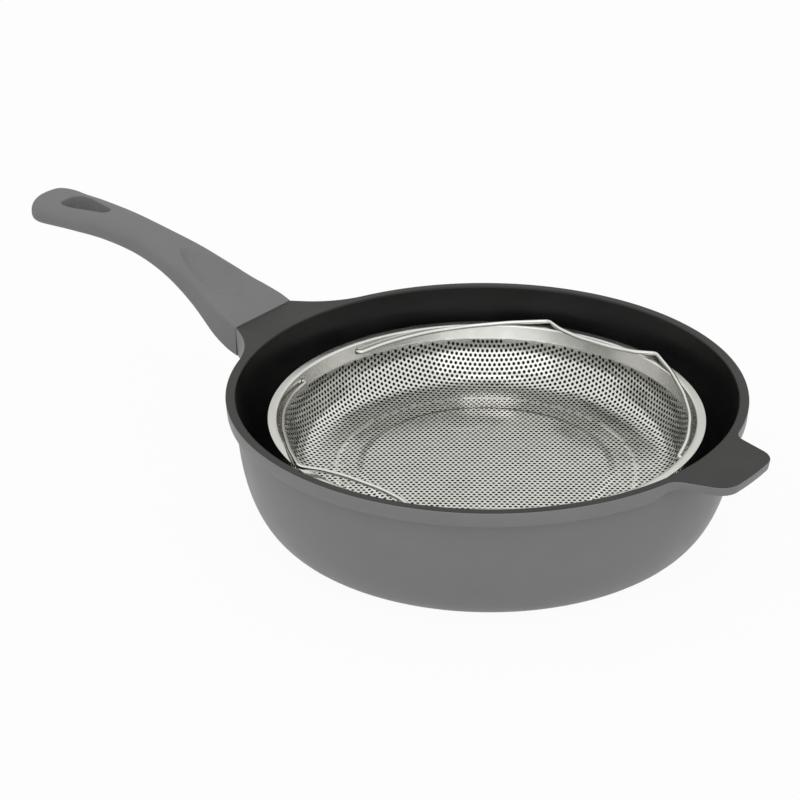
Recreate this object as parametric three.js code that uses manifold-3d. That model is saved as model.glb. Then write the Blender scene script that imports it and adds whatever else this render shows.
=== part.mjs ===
// Saute pan with a lift-out perforated basket. Millimetres, +Z up.
// The origin is the middle of the base's underside, the handle points along -X
// and the helper tab along +X.
import * as THREE from 'three';
import { mergeVertices } from 'three/addons/utils/BufferGeometryUtils.js';
import Module from 'manifold-3d';

const wasm = await Module();
wasm.setup();

// Fits
const SEAT_GAP = 0.3;
const ROUND_SEGMENTS = 64;

// Pan casting
const RIM_INNER_RADIUS = 140;
const RIM_WIDTH = 5.4;
const PAN_HEIGHT = 74;
const BAND_HEIGHT = 8.6;
const BAND_TAPER = 0.6;
const BAND_OVERHANG = 5.6;
const WALL_DRAFT = 23.5;
const WALL_THICKNESS = 3.6;
const WALL_SQUARENESS = 2.19;
const FLOOR_THICKNESS = 4.5;
const LIP_DROP = 16;

// Steel disc in the base
const PLATE_MARGIN = 28.3;
const PLATE_THICKNESS = 0.8;

// Lug for the handle, with a tang that enters it
const LUG_LENGTH = 18.9;
const LUG_HALF_WIDTH = 25.2;
const LUG_HEIGHT = 19;
const LUG_FLARE_ANGLE = THREE.MathUtils.degToRad(31);
const LUG_FILLET = 60;
const LUG_FOOT_FILLET = 50;
const TANG_LENGTH = 26;
const TANG_WIDTH = 28;
const TANG_HEIGHT = 6.5;
const TANG_DROP = 0.5;

// Helper tab opposite the handle
const TAB_LENGTH = 26;
const TAB_HALF_WIDTH = 22.6;
const TAB_THICKNESS = 5.4;
const TAB_FLARE_ANGLE = THREE.MathUtils.degToRad(17.3);
const TAB_FILLET = 9;
const TAB_CORNER_RADIUS = 12.5;

// Handle grip
const HANDLE_LENGTH = 182.2;
const HANDLE_TIP_ROUNDING = 17;
const HANDLE_EDGE_ROUNDING = 5;
const HANDLE_RISE = 36.4;
const HANDLE_END_LIFT = 1.4;
const HANDLE_ROOT_STEP = 1.4;
const HANDLE_ROOT_OVERLAP = 0.4;
const HANDLE_SHOULDER_DEPTH = 22;
const HANDLE_NECK_HALF_WIDTH = 14.6;
const HANDLE_END_HALF_WIDTH = 20.4;
const HANDLE_END_DEPTH = 15;
const HANG_HOLE_RADIUS = 8.7;
const HANG_HOLE_POINT_RADIUS = 4;
const HANG_HOLE_LENGTH = 34;
const HANG_HOLE_FROM_TIP = 21.2;

// Screw that holds the handle on the tang
const SCREW_RADIUS = 2.5;
const SCREW_HEAD_RADIUS = 4.2;
const SCREW_HEAD_HEIGHT = 2.4;
const SCREW_SEAT_THICKNESS = 3;
const SCREW_POINT_MARGIN = 1;
const WASHER_MARGIN = 0.6;
const WASHER_THICKNESS = 0.8;

// Basket
const SHEET = 0.8;
const FLANGE_CLEARANCE = 13.1;
const FLANGE_WIDTH = 5.6;
const FLANGE_BEND = 1.5;
const COLLAR_HEIGHT = 8.4;
const COLLAR_DRAFT = 1;
const BASKET_DEPTH = 33.9;
const BASKET_WALL_RUN = 27;
const FLOOR_RING_WIDTH = 15.7;
const DISC_STEP_WIDTH = 4;
const DISC_RISE = 0.9;

// Wire legs under the basket
const LEG_COUNT = 4;
const LEG_WIRE = 3;
const LEG_HEIGHT = 18.6;
const LEG_SPAN = 24;
const LEG_CORNER = 6;

// Folding wire bails
const BAIL_WIRE = 2.5;
const BAIL_PIVOT_OFFSET = 25.4;
const BAIL_PIVOT_DROP = 4.4;
const BAIL_HOOK_OUT = 4;
const BAIL_CORNER_HALF = 38;
const BAIL_GRIP_BOW = 7;
const BAIL_CORNER_RADIUS = 6;
const BAIL_HOLE_CLEARANCE = 0.4;

// Radii and reaches that follow
const rimOuterRadius = RIM_INNER_RADIUS + RIM_WIDTH;
const wallTopRadius = rimOuterRadius - BAND_OVERHANG;
const baseRadius = wallTopRadius - WALL_DRAFT;
const plateRadius = baseRadius - PLATE_MARGIN;
const lugReach = rimOuterRadius + LUG_LENGTH;
const tabReach = rimOuterRadius + TAB_LENGTH;
const flangeRadius = wallTopRadius - WALL_THICKNESS - FLANGE_CLEARANCE;
const flangeInnerRadius = flangeRadius - FLANGE_WIDTH;
const collarTopRadius = flangeInnerRadius - FLANGE_BEND;
const collarFootRadius = collarTopRadius - COLLAR_DRAFT;
const basketFloorRadius = collarFootRadius - BASKET_WALL_RUN;
const discFootRadius = basketFloorRadius - FLOOR_RING_WIDTH;
const legCircleRadius = discFootRadius + FLOOR_RING_WIDTH * 0.47;
const washerRadius = SCREW_HEAD_RADIUS + WASHER_MARGIN;

// Heights that follow
const floorTop = FLOOR_THICKNESS;
const bandFoot = PAN_HEIGHT - BAND_HEIGHT;
const basketFloor = floorTop + SEAT_GAP + LEG_HEIGHT + SEAT_GAP + SHEET;
const flangeTop = basketFloor + BASKET_DEPTH;
const collarFoot = flangeTop - COLLAR_HEIGHT;
const pivotHeight = flangeTop - BAIL_PIVOT_DROP;

const coatedCasting = new THREE.MeshStandardMaterial({ color: 0x6f6f6f, roughness: 0.55, metalness: 0.2 });
const softTouchPlastic = new THREE.MeshStandardMaterial({ color: 0x787878, roughness: 0.6, metalness: 0 });
const stainless = new THREE.MeshStandardMaterial({ color: 0xc9c6bd, roughness: 0.3, metalness: 1 });

const group = new THREE.Group();

function addPart(name, geometry, material) {
  const mesh = new THREE.Mesh(geometry, material);
  mesh.name = name;
  group.add(mesh);
}

// A geometry's triangles as a solid that can be joined and cut
function toSolid(geometry) {
  const bare = (geometry.index ? geometry.toNonIndexed() : geometry.clone());
  bare.deleteAttribute('normal');
  bare.deleteAttribute('uv');
  const merged = mergeVertices(bare, 1e-4);
  const corners = merged.index.array;
  const kept = [];
  for (let i = 0; i < corners.length; i += 3) {
    const [a, b, c] = [corners[i], corners[i + 1], corners[i + 2]];
    if (a !== b && b !== c && c !== a) kept.push(a, b, c);
  }
  const vertProperties = new Float32Array(merged.attributes.position.array);
  const triVerts = new Uint32Array(kept);
  return new wasm.Manifold(new wasm.Mesh({ numProp: 3, vertProperties, triVerts }));
}

function toGeometry(solid) {
  const mesh = solid.getMesh();
  const geometry = new THREE.BufferGeometry();
  const positions = new Float32Array(mesh.numVert * 3);
  for (let i = 0; i < mesh.numVert; i += 1) {
    for (let k = 0; k < 3; k += 1) positions[i * 3 + k] = mesh.vertProperties[i * mesh.numProp + k];
  }
  geometry.setAttribute('position', new THREE.BufferAttribute(positions, 3));
  geometry.setIndex(new THREE.BufferAttribute(new Uint32Array(mesh.triVerts), 1));
  geometry.computeVertexNormals();
  return geometry;
}

// A closed profile of [radius, height] pairs, counter-clockwise, turned about Z
function turned(profile, segments = ROUND_SEGMENTS) {
  const points = profile.map(([radius, height]) => new THREE.Vector2(radius, height));
  if (profile[0][0] > 0) points.push(points[0].clone());
  return new THREE.LatheGeometry(points, segments).rotateX(Math.PI / 2);
}

function plate(shape, bottom, top) {
  const settings = { depth: top - bottom, bevelEnabled: false, curveSegments: 16 };
  return new THREE.ExtrudeGeometry(shape, settings).translate(0, 0, bottom);
}

function rod(radius, bottom, top, x, segments = 24) {
  const length = top - bottom;
  const geometry = new THREE.CylinderGeometry(radius, radius, length, segments);
  return geometry.rotateX(Math.PI / 2).translate(x, 0, bottom + length / 2);
}

// Quarter of a superellipse from the top of a wall (corner at its foot) down to its floor
function wallCurve(topRadius, topHeight, footRadius, footHeight, steps) {
  const points = [];
  for (let i = 0; i <= steps; i += 1) {
    const angle = (i / steps) * (Math.PI / 2);
    const across = Math.cos(angle);
    const down = Math.sin(angle) ** (2 / WALL_SQUARENESS);
    const radius = footRadius + (topRadius - footRadius) * across;
    const height = topHeight - (topHeight - footHeight) * down;
    points.push([radius, height]);
  }
  return points;
}

// Outline of a projection on the rim, along +X and symmetric about it: its straight sides flare
// out towards the rim by flareAngle and run into the circle rootRadius through a hollow fillet.
function flaredOutline({ rootRadius, innerRadius, reach, halfWidth, flareAngle, fillet, corner }) {
  const [nx, ny] = [Math.sin(flareAngle), Math.cos(flareAngle)];
  const sideOffset = nx * reach + ny * halfWidth;
  const along = Math.sqrt((rootRadius + fillet) ** 2 - (sideOffset + fillet) ** 2);
  const centreX = (sideOffset + fillet) * nx + along * ny;
  const centreY = (sideOffset + fillet) * ny - along * nx;
  const rimAngle = Math.atan2(centreY, centreX);
  const innerAngle = rimAngle * (rootRadius / innerRadius);
  const sideAngle = Math.PI / 2 - flareAngle + Math.PI;
  const shape = new THREE.Shape();
  shape.moveTo(innerRadius * Math.cos(-innerAngle), innerRadius * Math.sin(-innerAngle));
  shape.lineTo(rootRadius * Math.cos(-rimAngle), rootRadius * Math.sin(-rimAngle));
  shape.absarc(centreX, -centreY, fillet, Math.PI - rimAngle, -sideAngle + 2 * Math.PI, true);
  if (corner > 0) {
    const cornerX = reach - corner;
    const cornerY = (sideOffset - corner - nx * cornerX) / ny;
    shape.absarc(cornerX, -cornerY, corner, flareAngle - Math.PI / 2, 0, false);
    shape.absarc(cornerX, cornerY, corner, 0, Math.PI / 2 - flareAngle, false);
  } else {
    shape.lineTo(reach, -halfWidth);
    shape.lineTo(reach, halfWidth);
  }
  shape.absarc(centreX, centreY, fillet, sideAngle, Math.PI + rimAngle, true);
  shape.lineTo(innerRadius * Math.cos(innerAngle), innerRadius * Math.sin(innerAngle));
  shape.absarc(0, 0, innerRadius, innerAngle, -innerAngle, true);
  return shape;
}

// Round wire along a bent path. Each inner corner of the path is rounded by its own radius.
function bentWire(corners, radii, diameter, sides, steps) {
  const path = new THREE.CurvePath();
  let from = corners[0];
  for (let i = 1; i < corners.length - 1; i += 1) {
    const back = corners[i - 1].clone().sub(corners[i]);
    const ahead = corners[i + 1].clone().sub(corners[i]);
    const bend = Math.PI - back.angleTo(ahead);
    const setback = Math.min(radii[i - 1] * Math.tan(bend / 2), back.length() * 0.49, ahead.length() * 0.49);
    const start = corners[i].clone().addScaledVector(back.normalize(), setback);
    const end = corners[i].clone().addScaledVector(ahead.normalize(), setback);
    path.add(new THREE.LineCurve3(from, start));
    path.add(new THREE.QuadraticBezierCurve3(start, corners[i], end));
    from = end;
  }
  path.add(new THREE.LineCurve3(from, corners[corners.length - 1]));
  const section = new THREE.Shape();
  for (let i = 0; i < sides; i += 1) {
    const angle = (i / sides) * Math.PI * 2;
    const [x, y] = [Math.cos(angle) * diameter / 2, Math.sin(angle) * diameter / 2];
    if (i === 0) section.moveTo(x, y);
    else section.lineTo(x, y);
  }
  section.closePath();
  return new THREE.ExtrudeGeometry(section, { extrudePath: path, steps, bevelEnabled: false });
}

// Pan body: turned bowl, joined with the lug, its tang and the helper tab
const screwX = -(lugReach + TANG_LENGTH / 2);
const tangTop = PAN_HEIGHT - TANG_DROP;
const tangBottom = tangTop - TANG_HEIGHT;

function panBody() {
  const recess = PLATE_THICKNESS + SEAT_GAP;
  const innerTop = wallTopRadius - WALL_THICKNESS;
  const innerFoot = baseRadius - WALL_THICKNESS;
  const lipFoot = PAN_HEIGHT - LIP_DROP;
  const bowl = turned([
    [0, recess],
    [plateRadius + SEAT_GAP, recess],
    [plateRadius + SEAT_GAP, 0],
    ...wallCurve(wallTopRadius, bandFoot, baseRadius, 0, 10).reverse(),
    [rimOuterRadius - BAND_TAPER, bandFoot],
    [rimOuterRadius, PAN_HEIGHT],
    [RIM_INNER_RADIUS, PAN_HEIGHT],
    ...wallCurve(innerTop, lipFoot, innerFoot, floorTop, 10),
    [0, floorTop],
  ]);
  const lugSides = { reach: lugReach, halfWidth: LUG_HALF_WIDTH, flareAngle: LUG_FLARE_ANGLE, corner: 0 };
  const bandMiddle = (RIM_INNER_RADIUS + rimOuterRadius) / 2;
  const wallMiddle = wallTopRadius - WALL_THICKNESS / 2;
  const lugTop = flaredOutline({
    ...lugSides, rootRadius: rimOuterRadius - BAND_TAPER, innerRadius: bandMiddle, fillet: LUG_FILLET,
  });
  const lugFoot = flaredOutline({
    ...lugSides, rootRadius: wallTopRadius, innerRadius: wallMiddle, fillet: LUG_FOOT_FILLET,
  });
  const tab = flaredOutline({
    rootRadius: rimOuterRadius - BAND_TAPER,
    innerRadius: bandMiddle,
    reach: tabReach,
    halfWidth: TAB_HALF_WIDTH,
    flareAngle: TAB_FLARE_ANGLE,
    fillet: TAB_FILLET,
    corner: TAB_CORNER_RADIUS,
  });
  const lugBottom = PAN_HEIGHT - LUG_HEIGHT;
  const tang = new THREE.BoxGeometry(TANG_LENGTH * 2, TANG_WIDTH, TANG_HEIGHT);
  tang.translate(-lugReach, 0, tangBottom + TANG_HEIGHT / 2);
  const tangKeep = new THREE.BoxGeometry(TANG_LENGTH * 2, TANG_WIDTH * 2, TANG_HEIGHT * 2);
  tangKeep.translate(-lugReach - TANG_LENGTH + SEAT_GAP, 0, tangBottom + TANG_HEIGHT / 2);
  const solid = toSolid(bowl)
    .add(toSolid(plate(lugTop, bandFoot, PAN_HEIGHT).rotateZ(Math.PI)))
    .add(toSolid(plate(lugFoot, lugBottom, bandFoot + SEAT_GAP).rotateZ(Math.PI)))
    .add(toSolid(tang).intersect(toSolid(tangKeep)))
    .add(toSolid(plate(tab, PAN_HEIGHT - TAB_THICKNESS, PAN_HEIGHT)))
    .subtract(toSolid(rod(SCREW_RADIUS + SEAT_GAP, tangBottom - 1, tangTop + 1, screwX)));
  return toGeometry(solid);
}
addPart('pan_body', panBody(), coatedCasting);

// Steel disc, flush with the base's underside
addPart('induction_plate', rod(plateRadius, 0, PLATE_THICKNESS, 0, ROUND_SEGMENTS), stainless);

// Handle grip: sections square at the lug and oval at the end, set along a rising spine.
// Each station is [distance from lug, top above rim, depth, half width, squareness].
function handleGrip() {
  const reach = HANDLE_LENGTH;
  const rootDepth = LUG_HEIGHT + HANDLE_ROOT_STEP - HANDLE_ROOT_OVERLAP;
  const stations = [
    [SEAT_GAP, HANDLE_ROOT_STEP, rootDepth, LUG_HALF_WIDTH, 9],
    [0.11 * reach, HANDLE_RISE * 0.26, HANDLE_SHOULDER_DEPTH, LUG_HALF_WIDTH - 2.2, 7],
    [0.22 * reach, HANDLE_RISE * 0.5, (HANDLE_SHOULDER_DEPTH + HANDLE_END_DEPTH) / 2, LUG_HALF_WIDTH - 6, 5],
    [0.33 * reach, HANDLE_RISE * 0.69, HANDLE_END_DEPTH, HANDLE_NECK_HALF_WIDTH + 2.3, 4],
    [0.46 * reach, HANDLE_RISE * 0.87, HANDLE_END_DEPTH, HANDLE_NECK_HALF_WIDTH, 3],
    [0.62 * reach, HANDLE_RISE, HANDLE_END_DEPTH, HANDLE_NECK_HALF_WIDTH + 0.8, 2.5],
    [0.79 * reach, HANDLE_RISE, HANDLE_END_DEPTH, HANDLE_END_HALF_WIDTH - 0.8, 2.4],
    [reach, HANDLE_RISE + HANDLE_END_LIFT, HANDLE_END_DEPTH, HANDLE_END_HALF_WIDTH, 2.4],
  ];
  const spinePoints = stations.map(([x, top, depth]) => new THREE.Vector3(x, top, depth));
  const girthPoints = stations.map(([x, , , half, square]) => new THREE.Vector3(x, half, square));
  const spine = new THREE.CatmullRomCurve3(spinePoints);
  const girth = new THREE.CatmullRomCurve3(girthPoints);
  const rings = 34;
  const sides = 24;
  const positions = [];
  for (let i = 0; i <= rings; i += 1) {
    const t = i < rings ? Math.sin((i / rings) * (Math.PI / 2)) : 1;
    const { x, y: top, z: depth } = spine.getPoint(t);
    const { y: half, z: square } = girth.getPoint(t);
    const left = Math.max(reach - x, 0.2);
    const narrow = Math.sqrt(1 - Math.max(0, 1 - left / HANDLE_TIP_ROUNDING) ** 2);
    const thin = Math.sqrt(1 - Math.max(0, 1 - left / HANDLE_EDGE_ROUNDING) ** 2);
    const middle = PAN_HEIGHT + top - depth / 2;
    for (let k = 0; k < sides; k += 1) {
      const angle = ((k + 0.5) / sides) * Math.PI * 2;
      const [c, s] = [Math.cos(angle), Math.sin(angle)];
      const across = Math.sign(c) * Math.abs(c) ** (2 / square) * half * narrow;
      const up = Math.sign(s) * Math.abs(s) ** (2 / square) * (depth / 2) * thin;
      positions.push(-lugReach - x, across, middle + up);
    }
  }
  const faces = [];
  for (let i = 0; i < rings; i += 1) {
    for (let k = 0; k < sides; k += 1) {
      const [a, b] = [i * sides + k, i * sides + ((k + 1) % sides)];
      faces.push(a, a + sides, b, b, a + sides, b + sides);
    }
  }
  for (let k = 1; k < sides - 1; k += 1) {
    faces.push(0, k, k + 1);
    faces.push(rings * sides, rings * sides + k + 1, rings * sides + k);
  }
  const loft = new THREE.BufferGeometry();
  loft.setAttribute('position', new THREE.Float32BufferAttribute(positions, 3));
  loft.setIndex(faces);

  const holeX = -(lugReach + HANDLE_LENGTH - HANG_HOLE_FROM_TIP - HANG_HOLE_RADIUS);
  const pointX = holeX - HANG_HOLE_RADIUS + HANG_HOLE_LENGTH - HANG_HOLE_POINT_RADIUS;
  const lean = Math.asin((HANG_HOLE_RADIUS - HANG_HOLE_POINT_RADIUS) / (pointX - holeX));
  const hole = new THREE.Shape();
  hole.absarc(holeX, 0, HANG_HOLE_RADIUS, Math.PI / 2 - lean, -Math.PI / 2 + lean, false);
  hole.absarc(pointX, 0, HANG_HOLE_POINT_RADIUS, -Math.PI / 2 + lean, Math.PI / 2 - lean, false);
  const holeCut = plate(hole, 0, PAN_HEIGHT * 2);

  const socket = new THREE.BoxGeometry(
    (TANG_LENGTH + SEAT_GAP) * 2,
    TANG_WIDTH + SEAT_GAP * 2,
    TANG_HEIGHT + SEAT_GAP * 2,
  );
  socket.translate(-lugReach, 0, tangBottom + TANG_HEIGHT / 2);
  const seat = tangBottom - SEAT_GAP - SCREW_SEAT_THICKNESS;
  const solid = toSolid(loft)
    .subtract(toSolid(holeCut))
    .subtract(toSolid(socket))
    .subtract(toSolid(rod(SCREW_RADIUS + SEAT_GAP * 2, seat - 1, tangBottom, screwX)))
    .subtract(toSolid(rod(washerRadius + SEAT_GAP, 0, seat, screwX)));
  return toGeometry(solid);
}
addPart('handle_grip', handleGrip(), softTouchPlastic);

// Screw and washer, entered from under the handle
const washerTop = tangBottom - SEAT_GAP - SCREW_SEAT_THICKNESS - SEAT_GAP;
const headTop = washerTop - WASHER_THICKNESS - SEAT_GAP;

function handleScrew() {
  const shankTop = tangTop - SCREW_POINT_MARGIN;
  const profile = [
    [0, headTop - SCREW_HEAD_HEIGHT],
    [SCREW_HEAD_RADIUS * 0.75, headTop - SCREW_HEAD_HEIGHT],
    [SCREW_HEAD_RADIUS, headTop - SCREW_HEAD_HEIGHT / 2],
    [SCREW_HEAD_RADIUS, headTop],
    [SCREW_RADIUS, headTop],
    [SCREW_RADIUS, shankTop - 1],
    [SCREW_RADIUS - 0.8, shankTop],
    [0, shankTop],
  ];
  return turned(profile, 20).translate(screwX, 0, 0);
}
addPart('handle_screw', handleScrew(), stainless);

const washer = turned([
  [SCREW_RADIUS + SEAT_GAP, washerTop - WASHER_THICKNESS],
  [washerRadius, washerTop - WASHER_THICKNESS],
  [washerRadius, washerTop],
  [SCREW_RADIUS + SEAT_GAP, washerTop],
], 20).translate(screwX, 0, 0);
addPart('handle_washer', washer, stainless);

// Basket shell: drawn sheet bowl with a raised disc in its floor, a plain collar and a flat flange
const bailX = Math.sqrt(collarTopRadius ** 2 - BAIL_PIVOT_OFFSET ** 2);

function basketShell() {
  const wall = new THREE.QuadraticBezierCurve(
    new THREE.Vector2(collarFootRadius, collarFoot),
    new THREE.Vector2(collarFootRadius - BASKET_WALL_RUN / 9, basketFloor),
    new THREE.Vector2(basketFloorRadius, basketFloor),
  );
  const wallBack = wall.getPoints(8).reverse().map((point, i) => {
    const rise = i / 8;
    return [point.x + SHEET * rise, point.y - SHEET * (1 - rise)];
  });
  const inside = [
    [flangeRadius, flangeTop],
    [flangeInnerRadius, flangeTop],
    [collarTopRadius, flangeTop - FLANGE_BEND],
    ...wall.getPoints(8).map((point) => [point.x, point.y]),
    [discFootRadius, basketFloor],
    [discFootRadius - DISC_STEP_WIDTH, basketFloor + DISC_RISE],
  ];
  const outside = [
    [discFootRadius - DISC_STEP_WIDTH, basketFloor + DISC_RISE - SHEET],
    [discFootRadius, basketFloor - SHEET],
    ...wallBack,
    [collarTopRadius + SHEET, flangeTop - FLANGE_BEND - SHEET / 2],
    [flangeInnerRadius + SHEET / 2, flangeTop - SHEET],
    [flangeRadius, flangeTop - SHEET],
  ];
  const shell = turned([
    [0, basketFloor + DISC_RISE - SHEET],
    ...outside,
    ...inside,
    [0, basketFloor + DISC_RISE],
  ]);
  const holeRadius = BAIL_WIRE / 2 + BAIL_HOLE_CLEARANCE;
  let solid = toSolid(shell);
  for (const side of [-1, 1]) {
    const drill = new THREE.CylinderGeometry(holeRadius, holeRadius, flangeRadius * 3, 16);
    drill.rotateZ(Math.PI / 2).translate(0, side * BAIL_PIVOT_OFFSET, pivotHeight);
    solid = solid.subtract(toSolid(drill));
  }
  return toGeometry(solid);
}
addPart('basket_shell', basketShell(), stainless);

// Wire legs: a loop welded under the floor's outer ring, its lower run on the pan's floor
const legTop = basketFloor - SHEET - SEAT_GAP;
const legFoot = floorTop + SEAT_GAP + LEG_WIRE / 2;
for (let i = 0; i < LEG_COUNT; i += 1) {
  const half = LEG_SPAN / 2;
  const corners = [
    new THREE.Vector3(legCircleRadius, -half, legTop),
    new THREE.Vector3(legCircleRadius, -half, legFoot),
    new THREE.Vector3(legCircleRadius, half, legFoot),
    new THREE.Vector3(legCircleRadius, half, legTop),
  ];
  const loop = bentWire(corners, [LEG_CORNER, LEG_CORNER], LEG_WIRE, 8, 20);
  loop.rotateZ(((i + 0.5) / LEG_COUNT) * Math.PI * 2);
  addPart(`basket_leg_${i + 1}`, loop, stainless);
}

// Bails: drawn in a plane with the pivot along X, then tipped up until the wire clears the flange
const bailReach = Math.sqrt(flangeRadius ** 2 - BAIL_CORNER_HALF ** 2) - BAIL_PIVOT_OFFSET;
const bailInner = bailX - BAIL_WIRE * 1.1;
const bailCorner = new THREE.Vector2(BAIL_CORNER_HALF, bailReach);

// A point of the arm, which follows the inside of the collar before it rises over the flange
function armPoint(share, radius) {
  const ahead = bailReach * share;
  return new THREE.Vector2(Math.sqrt(radius ** 2 - (BAIL_PIVOT_OFFSET + ahead) ** 2), ahead);
}
const bailArm = [
  armPoint(0.2, collarTopRadius - BAIL_WIRE * 0.8),
  armPoint(0.45, collarTopRadius - BAIL_WIRE * 0.7),
  armPoint(0.66, collarTopRadius - BAIL_WIRE * 0.4),
];

// Where the arm passes over the flange's inner edge, as a distance from the pivot
function flangeCrossing() {
  const pivot = new THREE.Vector2(0, BAIL_PIVOT_OFFSET);
  const shoulder = bailArm[2];
  const start = shoulder.clone().add(pivot);
  const run = bailCorner.clone().sub(shoulder);
  const a = run.lengthSq();
  const b = start.dot(run);
  const c = start.lengthSq() - flangeInnerRadius ** 2;
  const share = (-b + Math.sqrt(b * b - a * c)) / a;
  return shoulder.y + run.y * share;
}
const bailTilt = Math.asin((BAIL_PIVOT_DROP + BAIL_WIRE / 2 + SEAT_GAP) / flangeCrossing());

function bail() {
  const half = [
    new THREE.Vector3(bailX + BAIL_HOOK_OUT, 0, 0),
    new THREE.Vector3(bailInner, 0, 0),
    ...bailArm.map((point) => new THREE.Vector3(point.x, point.y, 0)),
    new THREE.Vector3(bailCorner.x, bailCorner.y, 0),
    new THREE.Vector3(bailCorner.x * 0.4, bailReach - BAIL_GRIP_BOW, 0),
  ];
  const bends = [2.2, 90, 90, 60, BAIL_CORNER_RADIUS, 60];
  const mirrored = half.map((point) => new THREE.Vector3(-point.x, point.y, 0)).reverse();
  const radii = [...bends, ...[...bends].reverse()];
  return bentWire([...half, ...mirrored], radii, BAIL_WIRE, 8, 110);
}
const rearBail = bail().rotateX(bailTilt).translate(0, BAIL_PIVOT_OFFSET, pivotHeight);
addPart('rear_bail', rearBail, stainless);
const frontBail = bail().rotateX(bailTilt).rotateZ(Math.PI).translate(0, -BAIL_PIVOT_OFFSET, pivotHeight);
addPart('front_bail', frontBail, stainless);

export default group;
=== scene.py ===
import math

import bmesh
import bpy
import numpy as np
from mathutils import Matrix, Vector


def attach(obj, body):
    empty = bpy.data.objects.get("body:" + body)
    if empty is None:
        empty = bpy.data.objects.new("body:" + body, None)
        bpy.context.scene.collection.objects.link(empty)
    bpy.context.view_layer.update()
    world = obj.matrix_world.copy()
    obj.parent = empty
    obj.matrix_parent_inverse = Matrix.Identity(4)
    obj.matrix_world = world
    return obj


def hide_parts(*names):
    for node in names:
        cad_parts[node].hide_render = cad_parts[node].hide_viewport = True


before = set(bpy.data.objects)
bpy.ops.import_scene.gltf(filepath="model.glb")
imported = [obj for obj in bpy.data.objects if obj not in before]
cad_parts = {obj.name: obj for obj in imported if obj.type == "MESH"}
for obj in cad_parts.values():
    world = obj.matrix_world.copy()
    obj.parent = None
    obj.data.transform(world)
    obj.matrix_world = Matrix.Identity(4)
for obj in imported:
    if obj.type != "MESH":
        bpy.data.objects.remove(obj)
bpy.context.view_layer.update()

mm = 0.001


# Pan casting. One die-cast aluminium bowl with a thick flat rim, a lug for the handle on one side
# and a helper tab on the other. Outside it is sprayed with grey enamel; the inside, the rim's top and
# the tops of lug and tab carry the black non-stick coat.
rim_height = 74 * mm
rim_outer = 145.4 * mm
rim_inner = 140.4 * mm
band_depth = 8.6 * mm
band_taper = 0.6 * mm
wall_top = 139.8 * mm
wall_height = 65 * mm
wall_squareness = 2.19
wall_thickness = 3.6 * mm
wall_rows = 24
inner_squareness, inner_turn = 2.2, 1.2
base_radius = 116.3 * mm
standing_radius = base_radius - 2 * mm
floor_thickness = 4.5 * mm
floor_middle = 60 * mm
recess_radius = 88.3 * mm
recess_depth = 1.1 * mm
edge_round = 0.7 * mm
inner_round = 1.1 * mm
inner_round_start = rim_inner + 0.45 * inner_round


def flare(reach, half_width, angle, fillet):
    """Fillet centre and key angles of a projection whose sides flare by angle into the rim."""
    nx, ny = math.sin(angle), math.cos(angle)
    offset = nx * reach + ny * half_width
    along = math.sqrt((rim_outer + fillet) ** 2 - (offset + fillet) ** 2)
    centre = ((offset + fillet) * nx + along * ny, (offset + fillet) * ny - along * nx)
    foot = (centre[0] - fillet * nx, centre[1] - fillet * ny)
    return {"n": (nx, ny), "offset": offset, "centre": centre, "fillet": fillet,
            "rim": math.atan2(centre[1], centre[0]), "side": math.atan2(foot[1], foot[0])}


lug_reach, lug_half, lug_depth = 164.3 * mm, 25.2 * mm, 19 * mm
lug = flare(lug_reach, lug_half, math.radians(31), 60 * mm)
lug_corner = math.atan2(lug_half, lug_reach)
tab_reach, tab_half, tab_depth = 171.4 * mm, 22.6 * mm, 5.2 * mm
tab_corner, tab_bow = 12.5 * mm, 0.5 * mm
tab = flare(tab_reach, tab_half, math.radians(17.3), 9 * mm)
corner_x = tab_reach - tab_bow - tab_corner
corner_y = (tab["offset"] - tab_corner - tab["n"][0] * corner_x) / tab["n"][1]
tab_flat = math.atan2(corner_y, tab_reach - tab_bow)
tab_turn = math.atan2(corner_y + tab_corner * tab["n"][1], corner_x + tab_corner * tab["n"][0])


def fillet_reach(shape, a):
    """Distance from the pan's axis to the fillet between a projection and the rim."""
    cx, cy = shape["centre"]
    d = math.cos(a) * cx + math.sin(a) * cy
    return d - math.sqrt(d * d - cx ** 2 - cy ** 2 + shape["fillet"] ** 2)


def side_reach(shape, a):
    """Distance from the pan's axis to the straight side of a projection."""
    return shape["offset"] / (shape["n"][0] * math.cos(a) + shape["n"][1] * math.sin(a))


def rim_reach(angle):
    """Distance from the pan's axis to the rim's outer edge, lug and tab included."""
    a = abs(math.remainder(angle, 2 * math.pi))
    if a < tab["rim"]:
        if a < tab_flat:
            return (tab_reach - tab_bow * (a / tab_flat) ** 2) / math.cos(a)
        if a < tab_turn:
            d = corner_x * math.cos(a) + corner_y * math.sin(a)
            return d + math.sqrt(d * d - corner_x ** 2 - corner_y ** 2 + tab_corner ** 2)
        return side_reach(tab, a) if a < tab["side"] else fillet_reach(tab, a)
    b = math.pi - a
    if b < lug["rim"]:
        if b < lug_corner:
            return lug_reach / math.cos(b)
        return side_reach(lug, b) if b < lug["side"] else fillet_reach(lug, b)
    return rim_outer


def ease(value, low, high):
    """Smooth step from 0 at low to 1 at high."""
    t = min(max((value - low) / (high - low), 0), 1)
    return t * t * (3 - 2 * t)


def rim_depth(angle):
    """Height of the rim's outer face: deep at the lug, thin at the tab."""
    a = abs(math.remainder(angle, 2 * math.pi))
    thin = 1 - ease(a, tab["side"], tab["rim"] + math.radians(4))
    deep = 1 - ease(math.pi - a, lug["side"], lug["rim"])
    return band_depth + (tab_depth - band_depth) * thin + (lug_depth - band_depth) * deep


def wall_radius(z):
    """Outer radius of the pan's wall at a height above the base."""
    down = min(max((wall_height - z) / wall_height, 0), 1)
    across = math.cos(math.asin(down ** (wall_squareness / 2)))
    return base_radius + (wall_top - base_radius) * across


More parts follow.
